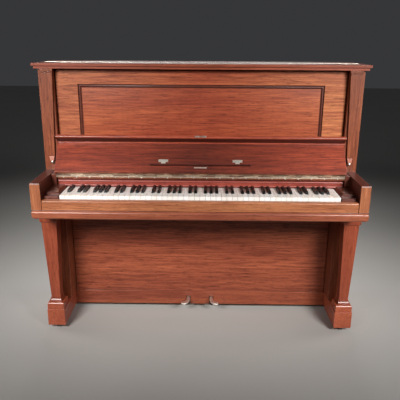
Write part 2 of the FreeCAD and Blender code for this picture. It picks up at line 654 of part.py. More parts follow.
def black_key(octave, semitone):
    x = sharp_x(octave, semitone)
    bottom, top = SHARP_WIDTH / 2.0, SHARP_TOP_WIDTH / 2.0
    front = KEY_HEAD_LENGTH + 1.0
    back = NAME_BOARD_Y - NAME_BOARD_BEAD - 1.5
    crown = KEY_TOP_Z + SHARP_HEIGHT
    low = [(x - bottom, front), (x + bottom, front), (x + bottom, back), (x - bottom, back)]
    high = [(x - top, front + 7), (x + top, front + 7), (x + top, back), (x - top, back)]
    wires = []
    for ring, z in ((low, KEY_BOTTOM_Z), (low, KEY_TOP_Z), (high, crown)):
        corners = [FreeCAD.Vector(px, py, z) for px, py in ring]
        wires.append(Part.makePolygon(corners + corners[:1]))
    cap = Part.makeLoft(wires, True, True)
    stick = box(x - 5.5, x + 5.5, back, KEY_REAR_Y, KEY_BOTTOM_Z, KEY_TOP_Z - 6)
    return fused([cap, stick])


def make_key(index):
    octave, semitone = note_of(index)
    if semitone in SHARP_CENTRE:
        return black_key(octave, semitone)
    return white_key(octave, semitone)


def key_frame():
    """Front, balance and back rails under the keys."""
    half = KEYS_HALF_WIDTH
    rails = [box(-half, half, 6, 44, BED_TOP_Z, KEY_BOTTOM_Z - 11),
             box(-half, half, BALANCE_Y - 20, BALANCE_Y + 20, BED_TOP_Z, KEY_BOTTOM_Z - 1),
             box(-half, half, KEY_REAR_Y - 30, KEY_REAR_Y, BED_TOP_Z, KEY_BOTTOM_Z - 1)]
    return rails


# ---------------------------------------------------------------- strung back

BACK_HALF = SIDE_INNER
POST_DEPTH = 47.0
POST_WIDTH = 70.0
POST_COUNT = 6
BACK_BOTTOM_Z = TOE_RAIL_TOP_Z
BACK_TOP_Z = LID_TOP_Z - 2 * LID_TIER - 1.0
PIN_BLOCK_Z = 1130.0
BOARD_FRONT_Y = 457.0
BOARD_BACK_Y = 466.0


def back_frame():
    """Upright posts between a top and a bottom rail, and the liners that hold the board off."""
    y0 = REAR_Y - POST_DEPTH
    shapes = []
    pitch = (2 * BACK_HALF - POST_WIDTH) / (POST_COUNT - 1)
    for index in range(POST_COUNT):
        x0 = -BACK_HALF + index * pitch
        shapes.append(box(x0, x0 + POST_WIDTH, y0, REAR_Y, BACK_BOTTOM_Z + 80, BACK_TOP_Z - 90))
    shapes.append(box(-BACK_HALF, BACK_HALF, y0, REAR_Y, BACK_TOP_Z - 90, BACK_TOP_Z))
    shapes.append(box(-BACK_HALF, BACK_HALF, y0, REAR_Y, BACK_BOTTOM_Z, BACK_BOTTOM_Z + 80))
    shapes.append(box(-BACK_HALF, BACK_HALF, BOARD_BACK_Y, y0, BACK_BOTTOM_Z, BACK_BOTTOM_Z + 50))
    return shapes


def pin_block():
    return box(-BACK_HALF, BACK_HALF, 436, REAR_Y - POST_DEPTH, PIN_BLOCK_Z, BACK_TOP_Z)


def bridges():
    """Long treble bridge and short bass bridge, standing on the sound board."""
    treble = [(-420, 300), (-380, 260), (560, 940), (560, 990), (520, 990)]
    bass = [(-240, 190), (-220, 160), (260, 200), (260, 230)]
    return [prism_y(treble, STRING_Y + 3, BOARD_FRONT_Y),
            prism_y(bass, BASS_STRING_Y + 3, BOARD_FRONT_Y)]


def sound_board():
    """Spruce board, slanting ribs behind it, and the long and bass bridges in front."""
    half = BACK_HALF
    board = box(-half, half, BOARD_FRONT_Y, BOARD_BACK_Y, BACK_BOTTOM_Z, PIN_BLOCK_Z - 1)
    shapes = [board] + bridges()
    rib = 12.0
    rise = 240.0
    for index in range(9):
        x = -half + 60 + index * (2 * half - 120 - rise) / 8.0
        z = BACK_BOTTOM_Z + 90
        outline = [(x, z + rise * 3), (x + rib, z + rise * 3), (x + rise + rib, z), (x + rise, z)]
        shapes.append(prism_y(outline, BOARD_BACK_Y, BOARD_BACK_Y + 18))
    return shapes


def iron_plate():
    """Cast plate: border, bars between the string sections, and a web over the pin block."""
    half = BACK_HALF - 1
    y0, y1 = 426.0, 436.0
    plate = box(-half, half, y0, y1, BACK_BOTTOM_Z, BACK_TOP_Z)
    low, high = BACK_BOTTOM_Z + 35, PIN_BLOCK_Z - 40
    edges = (-half + 30, -300, 300, half - 30)
    for left, right in zip(edges[:-1], edges[1:]):
        plate = plate.cut(box(left + 8, right - 8, y0, y1, low, high))
    clearance = 4.0
    for bridge in bridges():
        grown = [bridge]
        for dx, dz in ((-clearance, 0), (clearance, 0), (0, -clearance), (0, clearance)):
            moved = bridge.copy()
            moved.translate(FreeCAD.Vector(dx, 0, dz))
            grown.append(moved)
        plate = plate.cut(fused(grown))
    return plate


def note_fraction(index):
    return index / float(NOTE_COUNT - 1)


def string_ends(index):
    """Top and bottom (x, z) of one string course."""
    if index < BASS_NOTES:
        t = index / float(BASS_NOTES - 1)
        return (-600 + 270 * t, STRING_TOP_Z), (-160 + 300 * t, 175 + 25 * t)
    t = (index - BASS_NOTES) / float(NOTE_COUNT - BASS_NOTES - 1)
    x = -230 + 850 * t
    return (x, STRING_TOP_Z), (x - 170 * (1 - t) ** 2, 265 + 745 * t)


def strings():
    """One course per note, drawn as a thin band between its two ends."""
    courses = []
    half = 0.8
    for index in range(NOTE_COUNT):
        (x0, z0), (x1, z1) = string_ends(index)
        y = BASS_STRING_Y if index < BASS_NOTES else STRING_Y
        outline = [(x0 - half, z0), (x0 + half, z0), (x1 + half, z1), (x1 - half, z1)]
        courses.append(prism_y(outline, y, y + 1.2))
    return courses


def tuning_pins():
    """Two rows of pins for each note, standing out of the pin block through the plate."""
    pins = []
    for index in range(NOTE_COUNT):
        (x, _), _ = string_ends(index)
        row = index % 3
        for step in range(2):
            z = 1146 + 24 * row + 9 * step
            pins.append(cylinder_y(3.2, 404, 425.5, x + 4.5 * step - 2, z))
    return pins


# ---------------------------------------------------------------- action

def hammer(x):
    """Butt, shank and felt-covered head of one hammer, resting back from the strings."""
    y, z = HAMMER_PIVOT_Y, HAMMER_PIVOT_Z
    outline = [(y - 7, z - 8), (y + 7, z - 8), (y + 6, z + 24), (y + 2, z + 34), (y - 1, STRIKE_Z - 14),
               (y + 20, STRIKE_Z - 7), (y + 22, STRIKE_Z), (y + 20, STRIKE_Z + 7),
               (y - 14, STRIKE_Z + 14), (y - 14, STRIKE_Z - 14), (y - 6, STRIKE_Z - 14),
               (y - 4, z + 34), (y - 7, z + 24)]
    body = prism_x(outline, x - 4.5, x + 4.5)
    return body.cut(cylinder_x(HAMMER_PIN_R + PIVOT_CLEARANCE, x - 4.5, x + 4.5, y, z))


def damper(x, string_y):
    """Damper lever, wire and felt-faced head of one note."""
    y = string_y - 12
    outline = [(385, DAMPER_PIVOT_Z - 12), (393, DAMPER_PIVOT_Z - 12), (393, 900), (396, 925),
               (y, 925), (y, 915), (string_y - 0.4, 917), (string_y - 0.4, 963), (y, 965),
               (y, 940), (390, 932), (387, 900)]
    return prism_x(outline, x - 4.0, x + 4.0)


def note_x(index):
    """Hammer line: the notes spread over the strings' strike points."""
    return -590 + 1190 * note_fraction(index)


def action_frame():
    """Four cast brackets, the main, hammer rest and damper rails, and the hammers' long pin."""
    shapes = []
    for x in (-ACTION_HALF, -215, 215, ACTION_HALF - 6):
        foot = box(x, x + 6, KEY_REAR_Y + 5, BED_BACK_Y - 2, BED_TOP_Z, 847)
        outline = [(322, 815), (KEY_REAR_Y + 5, 815), (KEY_REAR_Y + 5, 847), (322, 847),
                   (317, 852), (317, 1010), (303, 1010), (303, 835)]
        shapes.append(fused([foot, prism_x(outline, x, x + 6)]))
    shapes.append(box(-ACTION_HALF, ACTION_HALF, 322, 368, 847, 862))
    shapes.append(box(-ACTION_HALF, ACTION_HALF, 317, 335, 990, 1030))
    shapes.append(box(-ACTION_HALF, ACTION_HALF, 376, 398, 822, 840))
    shapes.append(cylinder_x(HAMMER_PIN_R, -600, 610, HAMMER_PIVOT_Y, HAMMER_PIVOT_Z))
    return shapes


# ---------------------------------------------------------------- write every node

def save_pair(name, treble):
    save(name + "_left", [mirrored(treble)])
    save(name + "_right", [treble])


def save_case():
    save_pair("case_side", case_side())
    save("pilasters", [pilaster(), mirrored(pilaster())])
    save("arms", [arm(), mirrored(arm())])
    save("key_bed", [key_bed()])
    save("key_bed_moulding", [key_bed_moulding()])
    save("key_slip", [key_slip()])
    save("key_blocks", [key_block(), mirrored(key_block())])
    save("fallboard_rail", [fallboard_rail()])
    save("name_board", [name_board()])
    save("lid_rear", [lid_rear()])
    save("lid_front", [lid_front()])
    save("lid_hinge", [lid_hinge()])
    save("upper_panel", upper_panel())
    save("lower_panel", [lower_panel()])


def save_base():
    save("legs", [leg(), mirrored(leg())])
    save("toe_rails", [toe_rail(), mirrored(toe_rail())])
    save("bottom_rail", [bottom_rail()])
    save("bottom_board", [bottom_board()])
    housings = []
    for side in (-1, 1):
        for y in (FRONT_CASTER_Y, REAR_CASTER_Y):
            housings.append(caster_housing(side, y))
    save("caster_housings", housings)
    save("front_caster_wheels", [caster_wheel(side, FRONT_CASTER_Y) for side in (-1, 1)])
    save("rear_caster_wheels", [caster_wheel(side, REAR_CASTER_Y) for side in (-1, 1)])
    save_pair("pedal", pedal())
    save_pair("trap_lever", trap_lever())
    save_pair("pedal_rod", pedal_rod())


def save_fallboard():
    save("fallboard_leaf", [fallboard_leaf()])
    save("fallboard_lip", [fallboard_lip()])
    save("fallboard_hinge", [fallboard_hinge()])
    save("fallboard_hinge_fixed", [fallboard_hinge_fixed()])
    save("fallboard_fittings", fallboard_fittings())
    save("music_ledge", music_ledge())


def save_keys():
    whites = []
    blacks = []
    for index in range(NOTE_COUNT):
        octave, semitone = note_of(index)
        if octave == MIDDLE_OCTAVE:
            save("key_" + OCTAVE[semitone], [make_key(index)])
        elif semitone in SHARP_CENTRE:
            blacks.append(make_key(index))
        else:
            whites.append(make_key(index))
    save("white_keys", whites)
    save("black_keys", blacks)
    save("key_frame", key_frame())


def save_strung_back():
    save("back_frame", back_frame())
    save("pin_block", [pin_block()])
    save("sound_board", sound_board())
    save("iron_plate", [iron_plate()])
    save("strings", strings())
    save("tuning_pins", tuning_pins())


def save_action():
    hammers = {"hammers_white": [], "hammers_black": [], "hammers_middle": []}
    dampers = []
    for index in range(NOTE_COUNT):
        octave, semitone = note_of(index)
        group = "hammers_black" if semitone in SHARP_CENTRE else "hammers_white"
        if octave == MIDDLE_OCTAVE:
            group = "hammers_middle"
        hammers[group].append(hammer(note_x(index)))
        if index < DAMPED_NOTES:
            plane = BASS_STRING_Y if index < BASS_NOTES else STRING_Y
            dampers.append(damper(note_x(index), plane))
    for group, shapes in hammers.items():
        save(group, shapes)
    save("dampers", dampers)
    save("action_frame", action_frame())


save_case()
save_base()
save_fallboard()
save_keys()
save_strung_back()
save_action()
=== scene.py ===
import json
import math

import bmesh
import bpy
from mathutils import Matrix, Vector

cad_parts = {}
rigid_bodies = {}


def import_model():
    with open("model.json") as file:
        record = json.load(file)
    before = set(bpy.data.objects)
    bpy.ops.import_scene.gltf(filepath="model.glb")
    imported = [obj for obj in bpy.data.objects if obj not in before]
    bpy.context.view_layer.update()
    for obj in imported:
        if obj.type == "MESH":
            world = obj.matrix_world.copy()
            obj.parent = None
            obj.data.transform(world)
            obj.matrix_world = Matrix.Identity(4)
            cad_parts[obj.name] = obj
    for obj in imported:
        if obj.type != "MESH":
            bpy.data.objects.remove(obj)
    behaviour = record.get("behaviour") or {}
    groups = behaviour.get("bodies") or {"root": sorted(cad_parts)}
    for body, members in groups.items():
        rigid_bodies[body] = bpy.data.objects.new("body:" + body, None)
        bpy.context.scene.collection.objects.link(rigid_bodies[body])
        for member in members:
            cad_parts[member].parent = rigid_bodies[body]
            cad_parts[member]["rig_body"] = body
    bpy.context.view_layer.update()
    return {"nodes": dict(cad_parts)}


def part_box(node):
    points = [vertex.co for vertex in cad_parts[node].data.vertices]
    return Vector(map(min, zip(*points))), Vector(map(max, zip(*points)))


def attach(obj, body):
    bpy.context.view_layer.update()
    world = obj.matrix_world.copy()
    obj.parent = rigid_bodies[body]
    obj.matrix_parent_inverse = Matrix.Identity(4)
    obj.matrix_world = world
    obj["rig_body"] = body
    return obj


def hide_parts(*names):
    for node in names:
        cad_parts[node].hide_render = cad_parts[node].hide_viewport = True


# Looks of an upright piano in figured mahogany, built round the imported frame.
# Metres, in the frame's own axes: +X is the treble side, +Y the back, +Z up.

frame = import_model()

MM = 0.001
NODES = frame["nodes"]

# Open fallboard: its foot, in metres, and its lean from the vertical. The lip is in mm,
# measured up the leaf from that foot and out from the leaf's face.
FALL_FOOT_Y, FALL_FOOT_Z = -137 * MM, 794 * MM
FALL_LEAN = math.radians(37.0)
LIP_TOP, LIP_BOTTOM, LIP_BACK, LIP_REACH = 166.5, 150.5, -22.0, 45.0

# Middle plane of the piano to the middle of each leg, pilaster and pedal shank, in mm.
LEG_X, PILASTER_X, PEDAL_X = 698.5, 689.5, 60

# Heights on a pilaster, above the floor, in mm: its drop, its shaft and its necking begin here.
DROP_BOTTOM, PILASTER_BOTTOM, NECKING_BOTTOM = 824, 846, 1222

# Heights on a leg, above its lower end, in mm.
LEG_SHAFT_TOP, LEG_PLATE_TOP = 414, 436

# The name board's beads, the top of the stiles below the keyboard, and the hammers' felt,
# measured down from the top of the heads.
BEAD_RADIUS = 3.5 * MM
BEAD_HEIGHTS = (721 * MM, 741 * MM)
LOWER_STILE_TOP = 600 * MM
HAMMER_FELT = 26 * MM

# Middle plane of the piano to where the painted light fade reaches its second tint, the painted sheen
# of the ends.
PAINTED_LIGHT_REACH = 0.62

# A tint that leaves a colour as it is.
UNCHANGED = (1.0, 1.0, 1.0)


def body_of_node(node):
    """The body that a CAD node moves with."""
    return NODES[node]["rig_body"]


# ---------------------------------------------------------------- shader helpers

class Shader:
    """A material under construction, with short calls for the nodes used here."""

    def __init__(self, name):
        self.material = bpy.data.materials.new(name)
        self.material.use_nodes = True
        self.tree = self.material.node_tree
        self.bsdf = self.tree.nodes["Principled BSDF"]
        self.coords = self.tree.nodes.new("ShaderNodeTexCoord")

    def link(self, output, socket):
        """Join an output to a socket."""
        self.tree.links.new(output, socket)

    def set(self, **values):
        """Set inputs of the surface by name, with _ for each space."""
        for name, value in values.items():
            self.bsdf.inputs[name.replace("_", " ")].default_value = value

    def mapped(self, scale, offset=(0, 0, 0)):
        """The piece's own coordinates, scaled and moved."""
        node = self.tree.nodes.new("ShaderNodeMapping")
        node.inputs["Scale"].default_value = scale
        node.inputs["Location"].default_value = offset
        self.link(self.coords.outputs["Object"], node.inputs["Vector"])
        return node.outputs["Vector"]

    def noise(self, vector, detail=3.0, roughness=0.5, distortion=0.0):
        """Soft noise, about 0.3 to 0.7, read at a vector."""
        node = self.tree.nodes.new("ShaderNodeTexNoise")
        node.inputs["Scale"].default_value = 1.0
        node.inputs["Detail"].default_value = detail
        node.inputs["Roughness"].default_value = roughness
        node.inputs["Distortion"].default_value = distortion
        self.link(vector, node.inputs["Vector"])
        return node.outputs["Fac"]

    def ramp(self, value, stops):
        """Colour from a value, by stops of (position, colour)."""
        node = self.tree.nodes.new("ShaderNodeValToRGB")
        elements = node.color_ramp.elements
        while len(elements) < len(stops):
            elements.new(0.5)
        for element, (position, colour) in zip(elements, stops):
            element.position = position
            element.color = (*colour, 1.0)
        self.link(value, node.inputs["Fac"])
        return node.outputs["Color"]

    def mix(self, factor, first, second, blend="MIX"):
        """Blend two colours; each argument is a number, a colour or an output."""
        node = self.tree.nodes.new("ShaderNodeMix")
        node.data_type = "RGBA"
        node.blend_type = blend
        factor_socket, first_socket, second_socket = node.inputs[0], node.inputs[6], node.inputs[7]
        for value, socket in ((factor, factor_socket), (first, first_socket), (second, second_socket)):
            if isinstance(value, (int, float)):
                socket.default_value = value
            elif isinstance(value, tuple):
                socket.default_value = (*value, 1.0)
            else:
                self.link(value, socket)
        return node.outputs[2]

    def range(self, value, low, high, from_low=0.0, from_high=1.0):
        """Map a value so that from_low gives low and from_high gives high."""
        node = self.tree.nodes.new("ShaderNodeMapRange")
        node.inputs["From Min"].default_value = from_low
        node.inputs["From Max"].default_value = from_high
        node.inputs["To Min"].default_value = low
        node.inputs["To Max"].default_value = high
        self.link(value, node.inputs["Value"])
        return node.outputs["Result"]

    def coordinate(self, letter):
        """One of the piece's own coordinates."""
        split = self.tree.nodes.new("ShaderNodeSeparateXYZ")
        self.link(self.coords.outputs["Object"], split.inputs["Vector"])
        return split.outputs[letter]

    def from_middle(self, reach):
        """0 on the middle plane of the piano, rising to 1 at this distance to either side."""
        across = self.coordinate("X")
        size = self.tree.nodes.new("ShaderNodeMath")
        size.operation = "ABSOLUTE"
        self.link(across, size.inputs[0])
        return self.range(size.outputs["Value"], 0.0, 1.0, from_high=reach)

    def between_heights(self, low, high):
        """0 at the lower height, rising to 1 at the upper one."""
        return self.range(self.coordinate("Z"), 0.0, 1.0, from_low=low, from_high=high)

    def colour(self, output):
        """Take the surface's colour from an output."""
        self.link(output, self.bsdf.inputs["Base Color"])

    def roughness(self, output):
        """Take the surface's roughness from an output."""
        self.link(output, self.bsdf.inputs["Roughness"])

    def bump(self, height, strength, distance):
        """Raise the surface a little with a value."""
        node = self.tree.nodes.new("ShaderNodeBump")
        node.inputs["Strength"].default_value = strength
        node.inputs["Distance"].default_value = distance
        self.link(height, node.inputs["Height"])
        self.link(node.outputs["Normal"], self.bsdf.inputs["Normal"])


def grain_scale(axis, along, across):
    """Texture scale, in features for each metre, that stretches a pattern along one axis."""
    return tuple(along if letter == axis else across for letter in "XYZ")


# ---------------------------------------------------------------- materials

def palette(light, mid, dark=0.30):
    """Three tones of one wood; the dark one follows the middle one."""
    return {"light": light, "mid": mid, "dark": tuple(dark * channel for channel in mid)}


GOLDEN = palette((0.47, 0.175, 0.072), (0.31, 0.098, 0.042))
ORANGE = palette((0.43, 0.097, 0.033), (0.27, 0.046, 0.018))
FOOT_RED = palette((0.52, 0.122, 0.053), (0.35, 0.072, 0.033))
BROWN = palette((0.35, 0.104, 0.048), (0.23, 0.054, 0.028))
MAHOGANY = palette((0.40, 0.092, 0.038), (0.27, 0.054, 0.024))
PANEL_BROWN = palette((0.36, 0.088, 0.037), (0.22, 0.045, 0.020))
POST_BROWN = palette((0.28, 0.074, 0.028), (0.19, 0.043, 0.017))
WARM_RED = palette((0.35, 0.066, 0.029), (0.24, 0.039, 0.018))
# ROSE_HIGHLIGHT and PINK_HIGHLIGHT are painted highlight: pale tones that stand in for light caught on
# the name board's beads and the pilasters' drops.
ROSE_HIGHLIGHT = palette((0.40, 0.105, 0.075), (0.28, 0.065, 0.047))
PINK_HIGHLIGHT = palette((0.62, 0.27, 0.19), (0.46, 0.17, 0.12))
RED = palette((0.30, 0.050, 0.030), (0.20, 0.027, 0.018))
DEEP_RED = palette((0.23, 0.037, 0.014), (0.11, 0.0145, 0.006))
SHADED = palette((0.13, 0.030, 0.015), (0.085, 0.018, 0.009))
SHADOW = palette((0.096, 0.015, 0.0068), (0.064, 0.0095, 0.005))


def mahogany(name, axis, tones, seed, figure, gloss=0.45, painted_light_fade=None):
    """Polished mahogany: broad bands, long streaks, short pale and dark dashes, and pores.

    painted_light_fade holds two tints of painted light, for the middle of the piano and for its ends,
    such as a painted dark reflection in the middle and painted sheen at the ends.
    """
    shader = Shader(name)
    # Each seed reads another stretch of the noise, so no two woods have the same grain.
    offset = (seed * 3.7, seed * 1.9, seed * 2.3)

    def grain(along, across, detail, roughness, distortion=0.0):
        vector = shader.mapped(grain_scale(axis, along, across), offset)
        return shader.noise(vector, detail, roughness, distortion)

    broad = grain(0.9, 8.0, detail=3.0, roughness=0.55, distortion=0.3)
    streak = grain(2.6, 95.0, detail=4.0, roughness=0.65, distortion=0.25)
    dark_dash = grain(14.0, 170.0, detail=3.0, roughness=0.6, distortion=0.25)
    pale_dash = grain(8.0, 160.0, detail=2.0, roughness=0.5, distortion=0.2)
    pores = grain(45.0, 620.0, detail=2.0, roughness=0.5)
    base = shader.ramp(broad, [(0.34, tones["mid"]), (0.66, tones["light"])])
    in_dark_streak = shader.range(streak, 0.80, 0.0, from_low=0.34, from_high=0.53)
    base = shader.mix(in_dark_streak, base, tones["mid"])
    in_pale_streak = shader.range(streak, 0.0, 0.45, from_low=0.54, from_high=0.70)
    base = shader.mix(in_pale_streak, base, tones["light"])
    pale_tint = shader.ramp(pale_dash, [(0.38, (0.80, 0.76, 0.74)), (0.62, (1.22, 1.27, 1.30))])
    base = shader.mix(figure, base, pale_tint, "MULTIPLY")
    dark_tint = shader.ramp(dark_dash, [(0.32, (0.50, 0.42, 0.38)), (0.45, UNCHANGED)])
    base = shader.mix(figure, base, dark_tint, "MULTIPLY")
    # Painted sheen and reflection: the colour is multiplied by a tint that changes from the middle of
    # the piano to its ends.
    if painted_light_fade:
        middle, ends = painted_light_fade
        painted_light_tint = shader.ramp(shader.from_middle(PAINTED_LIGHT_REACH), [(0.05, middle), (0.95, ends)])
        base = shader.mix(1.0, base, painted_light_tint, "MULTIPLY")
    in_pore = shader.range(pores, 0.70, 0.0, from_low=0.30, from_high=0.42)
    base = shader.mix(in_pore, base, tones["dark"])
    shader.colour(base)
    shader.roughness(shader.range(dark_dash, 0.42, 0.55))
    shader.set(Specular_IOR_Level=0.25, Coat_Weight=gloss, Coat_Roughness=0.24, Coat_IOR=1.5)
    shader.bump(pores, strength=0.08, distance=0.0006)
    return shader.material


def key_white():
    """Aged key covering, each key a slightly different shade."""
    shader = Shader("key_covering")
    per_key = shader.noise(shader.mapped((42.0, 0.4, 0.4)), detail=0.0)
    cloud = shader.noise(shader.mapped((60.0, 25.0, 60.0)), detail=3.0, roughness=0.6)
    tone = shader.ramp(per_key, [(0.35, (0.86, 0.82, 0.75)), (0.65, (0.92, 0.90, 0.86))])
    yellowed = shader.range(cloud, 0.0, 0.20, from_low=0.4, from_high=0.8)
    shader.colour(shader.mix(yellowed, tone, (0.84, 0.78, 0.66)))
    shader.roughness(shader.range(cloud, 0.20, 0.34))
    shader.set(Coat_Weight=0.3, Coat_Roughness=0.10)
    shader.bump(cloud, strength=0.03, distance=0.0004)
    return shader.material


def key_black():
    """Polished black key tops with faint lengthwise grain and finger wear."""
    shader = Shader("key_ebony")
    grain = shader.noise(shader.mapped((420.0, 14.0, 420.0)))
    wear = shader.noise(shader.mapped((30.0, 30.0, 30.0)), detail=2.0)
    shader.colour(shader.ramp(grain, [(0.35, (0.003, 0.003, 0.003)), (0.7, (0.009, 0.007, 0.006))]))
    shader.roughness(shader.range(wear, 0.22, 0.36))
    shader.set(Specular_IOR_Level=0.12, Coat_Weight=0.15, Coat_Roughness=0.06)
    shader.bump(grain, strength=0.05, distance=0.0003)
    return shader.material


def metal(name, bright, dull, smooth, rough, scale, edges=None):
    """Plated or plain metal with cloudy tarnish and fine scratches.

    edges holds two heights; near them the metal is tinted darker and redder.
    """
    shader = Shader(name)
    tarnish_vector = shader.mapped((scale, scale, scale))
    tarnish = shader.noise(tarnish_vector, detail=4.0, roughness=0.6, distortion=0.4)
    scratch = shader.noise(shader.mapped((900.0, 60.0, 300.0)), detail=2.0)
    base = shader.ramp(tarnish, [(0.38, dull), (0.62, bright)])
    if edges:
        # Darker, redder tint towards both heights.
        edge_tint = (0.48, 0.19, 0.135)
        cover = shader.ramp(shader.between_heights(*edges),
                            [(0.16, edge_tint), (0.24, UNCHANGED), (0.80, UNCHANGED), (0.92, edge_tint)])
        base = shader.mix(1.0, base, cover, "MULTIPLY")
    shader.colour(base)
    shader.roughness(shader.range(tarnish, rough, smooth, from_low=0.35, from_high=0.65))
    shader.set(Metallic=1.0)
    shader.bump(scratch, strength=0.05, distance=0.0002)
    return shader.material


def raw_wood(name, axis, light, dark, seed):
    """Unpolished softwood or maple with growth rings along one axis."""
    shader = Shader(name)
    offset = (seed * 1.3, seed * 0.7, seed * 2.9)
    ring_vector = shader.mapped(grain_scale(axis, 1.6, 70.0), offset)
    rings = shader.noise(ring_vector, detail=3.0, roughness=0.55, distortion=0.5)
    fibre = shader.noise(shader.mapped(grain_scale(axis, 30.0, 900.0), offset), detail=2.0)
    tone = shader.ramp(rings, [(0.35, dark), (0.60, light)])
    in_fibre = shader.range(fibre, 0.0, 0.35, from_low=0.45, from_high=0.75)
    shader.colour(shader.mix(in_fibre, tone, dark))
    shader.roughness(shader.range(rings, 0.55, 0.72))
    shader.bump(fibre, strength=0.25, distance=0.0005)
    return shader.material


def felt(name, light, dark):
    """Pressed felt with a soft nap."""
    shader = Shader(name)
    nap = shader.noise(shader.mapped((700.0, 700.0, 700.0)), detail=3.0, roughness=0.7)
    shader.colour(shader.ramp(nap, [(0.35, dark), (0.65, light)]))
    shader.set(Roughness=0.95, Sheen_Weight=0.4, Sheen_Roughness=0.5)
    shader.bump(nap, strength=0.5, distance=0.0006)
    return shader.material


def floor_finish():
    """Plain pale studio floor with the faintest unevenness."""
    shader = Shader("studio_floor")
    cloud = shader.noise(shader.mapped((0.8, 0.8, 0.8)))
    shader.colour(shader.ramp(cloud, [(0.3, (0.47, 0.45, 0.42)), (0.7, (0.51, 0.49, 0.46))]))
    shader.set(Roughness=0.6, Specular_IOR_Level=0.2)
    return shader.material


PALE_SOFTWOOD, DARK_SOFTWOOD = (0.46, 0.30, 0.17), (0.30, 0.18, 0.09)

